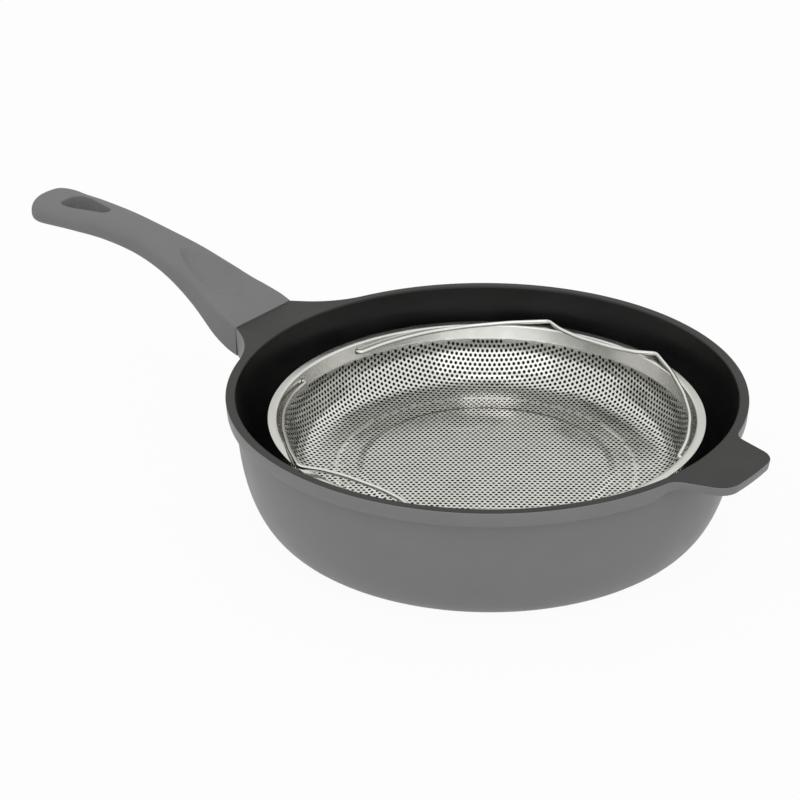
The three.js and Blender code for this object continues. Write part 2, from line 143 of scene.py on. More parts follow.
# Directions round the pan in degrees: close together at lug and tab, and one at each corner of theirs
fine_step, coarse_step, key_gap = 0.3, 1.5, 0.12
keys = [0, tab_flat, tab_turn, tab["side"], tab["rim"]]
keys += [math.pi - lug_corner, math.pi - lug["side"], math.pi - lug["rim"], math.pi]
fine = [math.radians(k * fine_step) for k in range(1, 70)]
fine += [math.pi - math.radians(k * fine_step) for k in range(1, 84)]
coarse = [math.radians(k * coarse_step) for k in range(14, 104)]
half_turn = []
for a in sorted(keys + fine + coarse):
    nearest_key = min(abs(a - key) for key in keys)
    if a in keys or nearest_key > math.radians(key_gap):
        half_turn.append(a)
turn = half_turn + [2 * math.pi - a for a in reversed(half_turn[1:-1])]
spokes = np.array([(math.cos(a), math.sin(a)) for a in turn])
outline = spokes * np.array([rim_reach(a) for a in turn])[:, None]
tangent = np.roll(outline, -1, 0) - np.roll(outline, 1, 0)
inward = np.stack([-tangent[:, 1], tangent[:, 0]], 1)
inward /= np.linalg.norm(inward, axis=1)[:, None]
band_foot = rim_height - np.array([rim_depth(a) for a in turn])


def flat_ring(radius, z):
    """Level circle round the pan's axis."""
    return [(radius * x, radius * y, z) for x, y in spokes]


def wall_ring(heights, proud, drop):
    """Ring on the outside wall at heights that change round the pan, moved out and down."""
    return [((wall_radius(h) + proud) * x, (wall_radius(h) + proud) * y, h - drop)
            for (x, y), h in zip(spokes, heights)]


def edge_ring(inset, heights):
    """Ring that follows the rim's outer edge, set in from it."""
    return [(p[0] + n[0] * inset, p[1] + n[1] * inset, h)
            for p, n, h in zip(outline, inward, heights)]


# Up the outside: base with its recess, wall, and the corner under the band
rings = [flat_ring(0, recess_depth), flat_ring(recess_radius, recess_depth), flat_ring(recess_radius, 0)]
rings.append(flat_ring(standing_radius, 0))
for k in range(1, wall_rows + 1):
    share = 1 - math.cos(k / wall_rows * math.pi / 2)
    rings.append(wall_ring((band_foot - edge_round) * share, 0, 0))
rings.append(wall_ring(band_foot, 0.25 * mm, 0.2 * mm))
rings.append(wall_ring(band_foot, 1.2 * mm, 0))
# Over the rim: the band's rounded lower and upper edges, then the round into the inside wall
for inset, rise in [(1.0, 0), (0.45, 0.12), (0.12, 0.45), (0, 1.0)]:
    rings.append(edge_ring(inset * mm + band_taper, band_foot + rise * mm))
for inset, drop in [(0, 0.6), (0.07, 0.25), (0.25, 0.07), (0.6, 0)]:
    rings.append(edge_ring(inset * mm, np.full(len(turn), rim_height - drop * mm)))
for bend in np.radians([0, 14, 28, 42, 56, 70, 84]):
    radius = inner_round_start - inner_round * math.sin(bend)
    rings.append(flat_ring(radius, rim_height - inner_round * (1 - math.cos(bend))))
# Down the inside wall, almost upright at first, and across the floor
inner_wall_top, _, inner_top = rings[-1][0]
inner_foot = base_radius - wall_thickness
for k in range(1, wall_rows + 1):
    across = math.cos(k / wall_rows * math.pi / 2)
    down = (1 - across ** inner_squareness) ** (1 / inner_turn)
    radius = inner_foot + (inner_wall_top - inner_foot) * across
    rings.append(flat_ring(radius, inner_top - (inner_top - floor_thickness) * down))
rings.append(flat_ring(floor_middle, floor_thickness))
rings.append(flat_ring(0, floor_thickness))


def rolled(name, rings):
    """A grid rolled up: each row becomes one ring, the seam and the poles are merged."""
    rows, columns = len(rings), len(rings[0])
    bpy.ops.object.select_all(action="DESELECT")
    bpy.ops.mesh.primitive_grid_add(x_subdivisions=columns, y_subdivisions=rows - 1, size=1)
    piece = bpy.context.object
    piece.name = piece.data.name = name
    for v in piece.data.vertices:
        column = round((v.co.x + 0.5) * columns) % columns
        row = round((v.co.y + 0.5) * (rows - 1))
        v.co = rings[row][column]
    bpy.ops.object.mode_set(mode="EDIT")
    bpy.ops.mesh.select_all(action="SELECT")
    bpy.ops.mesh.remove_doubles(threshold=1e-7)
    bpy.ops.mesh.normals_make_consistent(inside=False)
    bpy.ops.object.mode_set(mode="OBJECT")
    return piece


pan = rolled("pan_casting", rings)
moulded_crease = math.radians(40)
bpy.ops.object.shade_smooth_by_angle(angle=moulded_crease)


def hue(code):
    """sRGB hex to linear RGBA."""
    parts = [int(code[i:i + 2], 16) / 255 for i in (1, 3, 5)]
    return [c / 12.92 if c <= 0.04045 else ((c + 0.055) / 1.055) ** 2.4 for c in parts] + [1]


def node(material, kind, settings=None, links=None):
    """Adds one node to a material, sets its inputs or properties and links its inputs."""
    made = material.node_tree.nodes.new(kind)
    for key, value in (settings or {}).items():
        if isinstance(key, int) or key in made.inputs:
            made.inputs[key].default_value = value
        else:
            setattr(made, key, value)
    for key, source in (links or {}).items():
        material.node_tree.links.new(source, made.inputs[key])
    return made


def finish_of(name):
    """A new material and its shader."""
    material = bpy.data.materials.new(name)
    material.use_nodes = True
    return material, material.node_tree.nodes["Principled BSDF"]


# Sprayed enamel over die-cast aluminium: satin grey, with a low orange peel of about 1.2 mm,
# a fine speck of pigment, and a film that lies a little thicker and smoother in some places.
enamel, coat = finish_of("sprayed_grey_enamel")
place = node(enamel, "ShaderNodeTexCoord").outputs["Object"]
peel = node(enamel, "ShaderNodeTexNoise", {"Scale": 1 / (1.2 * mm), "Detail": 2},
            {"Vector": place}).outputs["Fac"]
speck = node(enamel, "ShaderNodeTexNoise", {"Scale": 1 / (0.5 * mm), "Detail": 1},
             {"Vector": place}).outputs["Fac"]
film = node(enamel, "ShaderNodeTexNoise", {"Scale": 1 / (30 * mm), "Detail": 3},
            {"Vector": place}).outputs["Fac"]
mottle = node(enamel, "ShaderNodeMath", {"operation": "MULTIPLY_ADD", 1: 0.35},
              {0: speck, 2: film}).outputs[0]
share = node(enamel, "ShaderNodeMapRange", {"From Min": 0.45, "From Max": 0.9},
             {"Value": mottle}).outputs["Result"]
grey = node(enamel, "ShaderNodeMix", {"data_type": "RGBA", 6: hue("#747474"), 7: hue("#7a7a7a")},
            {0: share}).outputs[2]
satin = node(enamel, "ShaderNodeMapRange",
             {"From Min": 0.35, "From Max": 0.65, "To Min": 0.4, "To Max": 0.5},
             {"Value": film}).outputs["Result"]
bump = node(enamel, "ShaderNodeBump", {"Strength": 0.12, "Distance": 0.05 * mm},
            {"Height": peel}).outputs["Normal"]
for socket, source in [("Base Color", grey), ("Roughness", satin), ("Normal", bump)]:
    enamel.node_tree.links.new(source, coat.inputs[socket])

# Baked fluoropolymer non-stick: black and smooth, with the low pebble of a sprayed film of about 0.9 mm
# and a faint grey haze where it has been wiped.
nonstick, black = finish_of("baked_black_nonstick")
place = node(nonstick, "ShaderNodeTexCoord").outputs["Object"]
pebble = node(nonstick, "ShaderNodeTexNoise", {"Scale": 1 / (0.9 * mm), "Detail": 3},
              {"Vector": place}).outputs["Fac"]
wiped = node(nonstick, "ShaderNodeTexNoise", {"Scale": 1 / (40 * mm), "Detail": 4},
             {"Vector": place}).outputs["Fac"]
tint = node(nonstick, "ShaderNodeMix", {"data_type": "RGBA", 6: hue("#060606"), 7: hue("#0b0b0c")},
            {0: wiped}).outputs[2]
sheen = node(nonstick, "ShaderNodeMapRange",
             {"From Min": 0.35, "From Max": 0.65, "To Min": 0.3, "To Max": 0.38},
             {"Value": wiped}).outputs["Result"]
bump = node(nonstick, "ShaderNodeBump", {"Strength": 0.12, "Distance": 0.05 * mm},
            {"Height": pebble}).outputs["Normal"]
for socket, source in [("Base Color", tint), ("Roughness", sheen), ("Normal", bump)]:
    nonstick.node_tree.links.new(source, black.inputs[socket])
black.inputs["IOR"].default_value = 1.44

# The black coat covers what looks inwards or straight up, and stops at the rim's outer edge
pan.data.materials.append(enamel)
pan.data.materials.append(nonstick)
coat_edge, level = 0.12 * mm, 0.9
for face in pan.data.polygons:
    x, y, z = face.center
    faces_in = face.normal.x * x + face.normal.y * y < 0 or face.normal.z > level
    inside = faces_in and z > floor_thickness - 0.1 * mm
    on_top = z > rim_height - coat_edge
    face.material_index = 1 if inside or on_top else 0
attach(pan, "pan")
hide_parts("pan_body")


# Handle. A grey moulded handle with a satin soft-touch surface: flat and square where it meets the lug,
# oval towards the end, with a shallow thumb rest on top and a teardrop hole to hang it by.
# It slides over the casting's tang and a screw holds it from below.
# Each station: distance from the pan's axis, top and bottom above the rim, half width, squareness
stations = np.array([
    (164.6, 0.3, -18.6, 25.2, 28), (175, 5.3, -16.4, 24.6, 12), (185, 9.6, -12.8, 23.2, 7),
    (205, 18.0, -0.6, 19.2, 5), (225, 24.8, 10.0, 16.9, 4), (250, 31.3, 16.9, 14.6, 3.1),
    (280, 35.8, 20.8, 15.2, 2.7), (310, 36.4, 21.5, 18.6, 2.5), (335, 36.7, 20.7, 20.6, 2.5),
    (346.4, 38.1, 21.0, 22.6, 2.5)])
root, tip = stations[0, 0], stations[-1, 0]
root_middle_drop = 8 * mm
tip_length, tip_round, tip_edge, tip_fullness = 20, 15.5, 5, 2.25
ring_points = 128
rest_at, rest_reach, rest_half, rest_depth = 205.5, 23.5, 13.2, 3.4
rest_egg, rest_end = 0.43, 0.4
rest_sharp_edge, rest_soft_edge = 3, 1.7
upper_side = 0.3


def smooth_row(table, at):
    """One row between the rows of a table, on a smooth curve through them."""
    key = table[:, 0]
    slope = np.gradient(table, key, axis=0)
    k = min(max(int(np.searchsorted(key, at)) - 1, 0), len(key) - 2)
    h = key[k + 1] - key[k]
    t = (at - key[k]) / h
    return ((2 * t ** 3 - 3 * t ** 2 + 1) * table[k] + (t ** 3 - 2 * t ** 2 + t) * h * slope[k]
            + (3 * t ** 2 - 2 * t ** 3) * table[k + 1] + (t ** 3 - t ** 2) * h * slope[k + 1])


def thumb_rest(reach, across):
    """Depth of the egg-shaped hollow in the handle's top, blunt towards the pan."""
    u = (reach - rest_at) / rest_reach
    if abs(u) >= 1:
        return 0
    half = rest_half * math.sqrt(1 - u * u) * (1 - rest_egg * u)
    edge = rest_sharp_edge if across < 0 else rest_soft_edge
    return rest_depth * max(0, 1 - abs(across / half) ** edge) * (1 - u * u) ** rest_end


# The rings stand closer along the thumb rest, and closer and closer round the tip
rest_stop, plain_start, tip_rows = 245, 247, 20
reaches = list(np.linspace(root, rest_stop, 66)) + list(np.linspace(plain_start, tip - tip_length, 42))
for k in range(1, tip_rows + 1):
    reaches.append(tip - tip_length * (1 - math.sin(k / tip_rows * math.pi / 2)))
handle_rings = []
for reach in reaches:
    _, top, bottom, half, square = smooth_row(stations, reach)
    left = tip - reach
    narrow = max(0, 1 - max(0, 1 - left / tip_round) ** tip_fullness) ** (1 / tip_fullness)
    thin = math.sqrt(max(0, 1 - max(0, 1 - left / tip_edge) ** 2))
    ring = []
    for k in range(ring_points):
        a = (k + 0.5) / ring_points * 2 * math.pi
        c, s = math.cos(a), math.sin(a)
        r = (abs(c) ** square + abs(s) ** square) ** (-1 / square)
        across = r * c * half * narrow
        up = (top + bottom) / 2 + r * s * (top - bottom) / 2 * thin
        up -= thumb_rest(reach, across) if s > upper_side else 0
        ring.append((-reach * mm, across * mm, rim_height + up * mm))
    handle_rings.append(ring)
root_middle = [(p[0], 0, rim_height - root_middle_drop) for p in handle_rings[0]]
handle = rolled("handle_moulding", [root_middle] + handle_rings)
bpy.ops.object.shade_smooth_by_angle(angle=moulded_crease)


def cut(piece, cutter):
    """Cuts the cutter's shape out of the piece and removes the cutter."""
    bpy.ops.object.select_all(action="DESELECT")
    bpy.context.view_layer.objects.active = piece
    piece.select_set(True)
    change = piece.modifiers.new("cut", "BOOLEAN")
    change.object, change.operation, change.solver = cutter, "DIFFERENCE", "EXACT"
    bpy.ops.object.modifier_apply(modifier=change.name)
    bpy.data.objects.remove(cutter)


# Hanging hole: a wide blunt end and a narrow round one, in mm from the pan's axis
wide_at, wide_radius, wide_power = 316.9, 9.3, 2 / 2.9
narrow_at, narrow_radius = 294.4, 4.4
hole_low, hole_high, hole_round = 95.9, 110.0, 0.7
cutter_low, cutter_high, cutter_spread, cutter_at = 93.6, 112.2, 6, 310


def blunted(value):
    """Sine or cosine of a blunt round, nearer to a square than a circle's."""
    return math.copysign(abs(value) ** wide_power, value)


def teardrop(grow):
    """Outline of the hanging hole, grown outwards."""
    lean = math.asin((wide_radius - narrow_radius) / (wide_at - narrow_at))
    wide, point = wide_radius + grow, narrow_radius + grow
    outer = [(-wide_at + wide * blunted(math.cos(a)), wide * blunted(math.sin(a)))
             for a in np.linspace(math.pi / 2 - lean, 3 * math.pi / 2 + lean, 44)]
    inner = [(-narrow_at + point * math.cos(a), point * math.sin(a))
             for a in np.linspace(-math.pi / 2 + lean, math.pi / 2 - lean, 24)]
    return outer + inner


# The hole's edges are rounded over: the cutter flares out towards both faces of the handle
round_over = [(hole_round * (1 - math.cos(a)), hole_round * (1 - math.sin(a)))
              for a in np.radians([0, 25, 45, 62, 78])]
levels = [(cutter_spread, cutter_low)] + [(grow, hole_low + dip) for grow, dip in reversed(round_over)]
levels += [(grow, hole_high - dip) for grow, dip in round_over] + [(cutter_spread, cutter_high)]
hole_rings = [[(x * mm, y * mm, h * mm) for x, y in teardrop(grow)] for grow, h in levels]
poles = [[(-cutter_at * mm, 0, h * mm)] * len(hole_rings[0]) for h in (cutter_low, cutter_high)]
cut(handle, rolled("hole_cut", poles[:1] + hole_rings + poles[1:]))
# Holes for the screw's head and shank, from below
screw_x = -(lug_reach + 13 * mm)
for radius, top in [(5.1 * mm, 63.7 * mm), (3.1 * mm, 72.8 * mm)]:
    bpy.ops.object.select_all(action="DESELECT")
    bpy.ops.mesh.primitive_cylinder_add(vertices=40, radius=radius, depth=top, location=(screw_x, 0, top / 2))
    bpy.ops.object.transform_apply()
    cut(handle, bpy.context.object)
bpy.ops.object.shade_smooth_by_angle(angle=moulded_crease)

# Soft-touch lacquer over moulded plastic: a matt grey with the fine spark-eroded grain of the tool,
# drawn at 0.6 mm so that it shows, and slightly darker where the lacquer lies thin.
softtouch, skin = finish_of("soft_touch_moulding")
place = node(softtouch, "ShaderNodeTexCoord").outputs["Object"]
grain = node(softtouch, "ShaderNodeTexNoise", {"Scale": 1 / (0.6 * mm), "Detail": 2},
             {"Vector": place}).outputs["Fac"]
cloud = node(softtouch, "ShaderNodeTexNoise", {"Scale": 1 / (22 * mm), "Detail": 3},
             {"Vector": place}).outputs["Fac"]
mottle = node(softtouch, "ShaderNodeMath", {"operation": "MULTIPLY_ADD", 1: 0.3},
              {0: grain, 2: cloud}).outputs[0]
share = node(softtouch, "ShaderNodeMapRange", {"From Min": 0.45, "From Max": 0.85},
             {"Value": mottle}).outputs["Result"]
grey = node(softtouch, "ShaderNodeMix", {"data_type": "RGBA", 6: hue("#757575"), 7: hue("#7a7a7a")},
            {0: share}).outputs[2]
matt = node(softtouch, "ShaderNodeMapRange",
            {"From Min": 0.35, "From Max": 0.65, "To Min": 0.55, "To Max": 0.64},
            {"Value": cloud}).outputs["Result"]
bump = node(softtouch, "ShaderNodeBump", {"Strength": 0.15, "Distance": 0.04 * mm},
            {"Height": grain}).outputs["Normal"]
for socket, source in [("Base Color", grey), ("Roughness", matt), ("Normal", bump)]:
    softtouch.node_tree.links.new(source, skin.inputs[socket])
skin.inputs["IOR"].default_value = 1.41
handle.data.materials.append(softtouch)
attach(handle, "pan")
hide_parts("handle_grip")


# Basket. Pressed from one disc of perforated stainless sheet: a flat floor with a raised disc, a dished wall,
# and round it the sheet's plain border, folded up as a collar and out as a flange.
sheet = 0.4 * mm
pitch = 3.07 * mm
hole_radius, hole_sides, cell_sides = 1.0 * mm, 10, 6
cell = hole_sides + cell_sides
plain_border = 0.62 * pitch
rows_turned = math.radians(35.6)
round_steps = 360
# The sheet's section from its middle outwards, as radius and height below the rim
disc_edge = [(68.9, -48.3), (69.4, -48.36), (72.8, -49.27), (73.3, -49.33)]
crease = [(83.2, -49.33), (84.4, -49.24), (85.8, -49.24), (87, -49.33)]
section = [(0, -48.3)] + disc_edge + crease + [(87.5, -49.35)]
wall_points = np.array([
    (87.5, -49.35), (92.8, -49.15), (97.4, -48.7), (101.7, -47.75), (105.3, -46.05), (107.8, -43.5),
    (109.6, -40.2), (111.4, -36.2), (113.05, -32.3), (114.05, -29), (115, -24)])
chord = np.concatenate([[0], np.cumsum(np.hypot(*np.diff(wall_points, axis=0).T))])
wall_table = np.column_stack([chord, wall_points])
section += [tuple(smooth_row(wall_table, at)[1:]) for at in np.linspace(0, chord[-1], 49)[1:]]
section.append((115.3, -23.0))
perforated_end = len(section) - 1
# The collar leans out a little and folds over into the flange
fold_x, fold_z, fold_lean = 117.15, -16.5, math.radians(74)
fold_width, fold_height, fold_steps = 0.72, 1.242, 6
section.append((fold_x, fold_z))
for k in range(1, fold_steps + 1):
    left = fold_lean * (1 - k / fold_steps)
    section.append((fold_x + fold_width * (math.sin(fold_lean) - math.sin(left)),
                    fold_z + fold_height * (math.cos(left) - math.cos(fold_lean))))
section += [(119.5, -15.6), (122.4, -15.6)]
section = np.array(section) * mm
run = np.concatenate([[0], np.cumsum(np.hypot(*np.diff(section, axis=0).T))])
# The blank keeps its area in the press, so the pattern closes up a little round the wall
middle = (section[1:, 0] + section[:-1, 0]) / 2
blank = np.sqrt(np.concatenate([[0], np.cumsum(2 * middle * np.diff(run))]))
perforated = blank[perforated_end]

# One cell of the pattern, a six-sided patch with its hole, repeated in rows over the flat blank
bpy.ops.object.select_all(action="DESELECT")
bpy.ops.mesh.primitive_circle_add(vertices=hole_sides, radius=hole_radius)
wall_piece = bpy.context.object
wall_piece.name = wall_piece.data.name = "basket_wall"
hole_group = wall_piece.vertex_groups.new(name="hole")
hole_group.add(list(range(hole_sides)), 1, "REPLACE")
bpy.ops.object.mode_set(mode="EDIT")
bpy.ops.mesh.primitive_circle_add(vertices=cell_sides, radius=pitch / math.sqrt(3))
bpy.ops.mesh.select_all(action="SELECT")
bpy.ops.mesh.bridge_edge_loops()
bpy.ops.object.mode_set(mode="OBJECT")
row_step = pitch * math.sqrt(3) / 2
rows = int(perforated / row_step) * 2 + 1
columns = int(perforated / pitch * (1 + 1 / math.sqrt(3))) * 2 + 3
for step, count in [((pitch, 0, 0), columns), ((pitch / 2, row_step, 0), rows)]:
    array = wall_piece.modifiers.new("rows", "ARRAY")
    array.use_relative_offset, array.use_constant_offset = False, True
    array.constant_offset_displace, array.count = step, count
    bpy.ops.object.modifier_apply(modifier=array.name)
points = np.empty(len(wall_piece.data.vertices) * 3)
wall_piece.data.vertices.foreach_get("co", points)
points = points.reshape(-1, cell, 3)
points -= points.mean(1).reshape(rows, columns, 3)[rows // 2, columns // 2]
cell_radii = np.linalg.norm(points.mean(1)[:, :2], axis=1)
# The press closes up the holes that lie on the crease
crease_middle, crease_half, closed_to = 85.1 * mm, 0.9 * mm, 0.6
closed = np.abs(cell_radii - np.interp(crease_middle, section[:, 0], blank)) < crease_half
centre = points[closed].mean(1, keepdims=True)
points[closed, :hole_sides] = centre + (points[closed, :hole_sides] - centre) * closed_to
wall_piece.data.vertices.foreach_set("co", points.ravel())
# The cells that reach past the perforated part are removed
outside = np.repeat(cell_radii > perforated - plain_border, cell)
bpy.ops.object.mode_set(mode="EDIT")
bpy.ops.mesh.select_mode(type="VERT")
bpy.ops.mesh.select_all(action="DESELECT")
bpy.ops.object.mode_set(mode="OBJECT")
wall_piece.data.vertices.foreach_set("select", outside)
bpy.ops.object.mode_set(mode="EDIT")
bpy.ops.mesh.delete(type="VERT")
bpy.ops.mesh.select_all(action="SELECT")
bpy.ops.mesh.remove_doubles(threshold=0.02 * mm)
bpy.ops.mesh.select_all(action="DESELECT")
bpy.ops.mesh.select_mode(type="EDGE")
bpy.ops.mesh.select_non_manifold()
bpy.ops.object.mode_set(mode="OBJECT")
# Between the last cells and the plain border the sheet is filled in
in_hole = np.array([len(v.groups) > 0 for v in wall_piece.data.vertices])
last_edges = [e.index for e in wall_piece.data.edges if e.select and not in_hole[e.vertices[0]]]
bpy.ops.object.mode_set(mode="EDIT")
bpy.ops.mesh.select_all(action="DESELECT")
bpy.ops.mesh.primitive_circle_add(vertices=round_steps, radius=perforated)
bpy.ops.object.mode_set(mode="OBJECT")
for k in last_edges:
    wall_piece.data.edges[k].select = True
bpy.ops.object.mode_set(mode="EDIT")
bpy.ops.mesh.fill(use_beauty=True)
bpy.ops.mesh.subdivide(number_cuts=2)
bpy.ops.mesh.select_all(action="SELECT")
bpy.ops.mesh.normals_make_consistent(inside=False)
bpy.ops.object.mode_set(mode="OBJECT")


def score(piece, radius):
    """Splits the faces that a circle crosses, so that the press can bend the sheet sharply there."""
    work = bmesh.new()
    work.from_mesh(piece.data)
    fresh = set()
    for edge in list(work.edges):
        a, b = (v.co.xy.length - radius for v in edge.verts)
        if a * b < 0:
            fresh.add(bmesh.utils.edge_split(edge, edge.verts[0], a / (a - b))[1])
    for face in list(work.faces):
        ends = [v for v in face.verts if v in fresh]
        if len(ends) == 2:
            bmesh.utils.face_split(face, *ends)
    work.to_mesh(piece.data)
    work.free()


for reach, _ in disc_edge + crease:
    score(wall_piece, float(np.interp(reach * mm, section[:, 0], blank)))

# Press the flat blank to its section, the rows of holes as they lie in the floor
points = np.empty(len(wall_piece.data.vertices) * 3)
wall_piece.data.vertices.foreach_get("co", points)
points = points.reshape(-1, 3)
out = np.hypot(points[:, 0], points[:, 1])
around = np.arctan2(points[:, 1], points[:, 0]) + rows_turned
radius, height = np.interp(out, blank, section[:, 0]), np.interp(out, blank, section[:, 1])
points = np.stack([radius * np.cos(around), radius * np.sin(around), height + rim_height], 1)
wall_piece.data.vertices.foreach_set("co", points.ravel())
wall_piece.data.update()

# The floor is kept as a piece of its own, and the collar is rolled on to the wall's edge
floor_edge = 88 * mm
bpy.ops.object.mode_set(mode="EDIT")
bpy.ops.mesh.select_mode(type="FACE")
bpy.ops.mesh.select_all(action="DESELECT")
bpy.ops.object.mode_set(mode="OBJECT")
for face in wall_piece.data.polygons:
    face.select = math.hypot(face.center.x, face.center.y) < floor_edge
bpy.ops.object.mode_set(mode="EDIT")
bpy.ops.mesh.separate(type="SELECTED")
bpy.ops.object.mode_set(mode="OBJECT")
floor_piece = [o for o in bpy.context.selected_objects if o is not wall_piece][0]
floor_piece.name = floor_piece.data.name = "basket_floor"
collar_turn = [2 * math.pi * k / round_steps for k in range(round_steps)]
collar_rings = [[(r * math.cos(a), r * math.sin(a), rim_height + z) for a in collar_turn]
                for r, z in section[perforated_end:]]
collar = rolled("basket_collar", collar_rings)
pressed_crease = math.radians(35)
for piece in (wall_piece, floor_piece, collar):
    looks_down = sum(face.normal.z for face in piece.data.polygons) < 0
    bpy.ops.object.select_all(action="DESELECT")
    bpy.context.view_layer.objects.active = piece
    piece.select_set(True)
    if looks_down:
        bpy.ops.object.mode_set(mode="EDIT")
        bpy.ops.mesh.select_all(action="SELECT")
        bpy.ops.mesh.flip_normals()
        bpy.ops.object.mode_set(mode="OBJECT")
    wall = piece.modifiers.new("sheet", "SOLIDIFY")
    wall.thickness, wall.offset = sheet, -1
    bpy.ops.object.modifier_apply(modifier=wall.name)
    bpy.ops.object.shade_smooth_by_angle(angle=pressed_crease)

# The wire handles hook through four holes in the collar
pivot_y, pivot_z = 25.4 * mm, rim_height - 20 * mm
hook_hole, across_basket = 1.7 * mm, 300 * mm
for side in (-1, 1):
    bpy.ops.object.select_all(action="DESELECT")
    bpy.ops.mesh.primitive_cylinder_add(vertices=24, radius=hook_hole, depth=across_basket,
                                        rotation=(0, math.pi / 2, 0), location=(0, side * pivot_y, pivot_z))
    bpy.ops.object.transform_apply()
    cut(collar, bpy.context.object)
bpy.ops.object.shade_smooth_by_angle(angle=pressed_crease)

# Stainless sheet, bright annealed: almost a mirror, dulled a little by rolling and washing. The rolling
# marks run along one way; real ones are about 0.05 mm apart and are drawn at 0.4 mm so that they show.
steel, metal = finish_of("bright_stainless_sheet")
place = node(steel, "ShaderNodeTexCoord").outputs["Object"]
haze = node(steel, "ShaderNodeTexNoise", {"Scale": 1 / (16 * mm), "Detail": 4},
            {"Vector": place}).outputs["Fac"]
stretched = node(steel, "ShaderNodeMapping", {"Scale": (0.03, 1, 1)}, {"Vector": place}).outputs["Vector"]
rolling = node(steel, "ShaderNodeTexNoise", {"Scale": 1 / (0.4 * mm), "Detail": 2},
               {"Vector": stretched}).outputs["Fac"]
mixed = node(steel, "ShaderNodeMath", {"operation": "MULTIPLY_ADD", 1: 0.4},
             {0: rolling, 2: haze}).outputs[0]
rough = node(steel, "ShaderNodeMapRange",
             {"From Min": 0.5, "From Max": 0.9, "To Min": 0.14, "To Max": 0.22},
             {"Value": mixed}).outputs["Result"]
tint = node(steel, "ShaderNodeMix", {"data_type": "RGBA", 6: hue("#d6d6d2"), 7: hue("#cfcfca")},
            {0: haze}).outputs[2]
bump = node(steel, "ShaderNodeBump", {"Strength": 0.03, "Distance": 0.02 * mm},
            {"Height": rolling}).outputs["Normal"]
for socket, source in [("Base Color", tint), ("Roughness", rough), ("Normal", bump)]:
    steel.node_tree.links.new(source, metal.inputs[socket])
metal.inputs["Metallic"].default_value = 1
for piece in (wall_piece, floor_piece, collar):
    piece.data.materials.append(steel)
    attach(piece, "basket")
    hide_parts("basket_shell")


# Bails. Two bent stainless wires that lift the basket: each end is hooked through a hole in the collar,
# and the wire lies folded down across the flange. The wire is drawn bright, like the sheet.
end_steps = [0.12, 0.45, 0.9]
end_sizes = [0.45, 0.8, 0.95]
wire_crease = math.radians(50)


def wire(name, path, diameter):
    """Round wire along a path, its ends rounded off, as a mesh."""
    bpy.ops.object.select_all(action="DESELECT")
    bpy.ops.curve.primitive_nurbs_path_add()
    piece = bpy.context.object
    piece.name = piece.data.name = name
    piece.data.splines.clear()
    spline = piece.data.splines.new("POLY")
    spline.points.add(len(path) - 1)
    for point, at in zip(spline.points, path):
        point.co = (*at, 1)
    piece.data.dimensions, piece.data.bevel_depth, piece.data.bevel_resolution = "3D", diameter / 2, 4
    piece.data.use_fill_caps = True
    for k, size in enumerate(end_sizes):
        spline.points[k].radius = spline.points[-1 - k].radius = size
    bpy.ops.object.convert(target="MESH")
    piece = bpy.context.object
    bpy.ops.object.mode_set(mode="EDIT")
    bpy.ops.mesh.select_all(action="SELECT")
    bpy.ops.mesh.remove_doubles(threshold=1e-6)
    bpy.ops.mesh.normals_make_consistent(inside=False)
    bpy.ops.object.mode_set(mode="OBJECT")
    bpy.ops.object.shade_smooth_by_angle(angle=wire_crease)
    return piece


def bent(corners, bends):
    """Points along straight runs joined by round bends, each at most half of the runs beside it."""
    corners = [np.array(c, float) for c in corners]
    path = [corners[0]]
    for before, corner, after, bend in zip(corners, corners[1:], corners[2:], bends):
        a, b = before - corner, after - corner
        run_a, run_b = np.linalg.norm(a), np.linalg.norm(b)
        a, b = a / run_a, b / run_b
        angle = math.acos(max(-1, min(1, float(a @ b))))
        setback = min(bend / math.tan(angle / 2), run_a * 0.49, run_b * 0.49)
        radius = setback * math.tan(angle / 2)
        centre = corner + (a + b) / np.linalg.norm(a + b) * radius / math.sin(angle / 2)
        start, end = corner + a * setback - centre, corner + b * setback - centre
        sweep = math.pi - angle
        side = (end - start * math.cos(sweep)) / math.sin(sweep)
        count = max(4, int(math.degrees(sweep) / 6))
        for k in range(count + 1):
            turned = sweep * k / count
            path.append(centre + start * math.cos(turned) + side * math.sin(turned))
    path.append(corners[-1])
    return path


def rounded_ends(path, radius):
    """Adds the short steps over which each wire end is rounded off."""
    first = (path[1] - path[0]) / np.linalg.norm(path[1] - path[0])
    last = (path[-2] - path[-1]) / np.linalg.norm(path[-2] - path[-1])
    return ([path[0]] + [path[0] + first * radius * s for s in end_steps] + path[1:-1]
            + [path[-1] + last * radius * s for s in reversed(end_steps)] + [path[-1]])


bail_wire = 2.5 * mm
folded_tilt = math.radians(4.3)
# Half of the bail as it is bent flat: distance from its middle and from its pivots, then its bends
half_bail = [(117.2, 0), (110.6, 0), (105.2, 18.5), (92.4, 42), (76.3, 60.8), (57, 78.4), (38.2, 92.2),
             (27, 87.2), (12, 84.5)]
half_bends = [b * mm for b in (2.2, 90, 90, 90, 90, 4.5, 25, 60)]
bail_corners = [(x * mm, d * mm, 0) for x, d in half_bail]
bail_corners += [(-x, d, z) for x, d, z in reversed(bail_corners)]
flat_bail = rounded_ends(bent(bail_corners, half_bends + half_bends[::-1]), bail_wire / 2)
for name, side in [("rear_bail", 1), ("front_bail", -1)]:
    path = [(side * x, side * (pivot_y + d * math.cos(folded_tilt)), pivot_z + d * math.sin(folded_tilt))
            for x, d, _ in flat_bail]
    piece = wire(name + "_wire", path, bail_wire)
    piece.data.materials.append(steel)
    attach(piece, name)
    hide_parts(name)


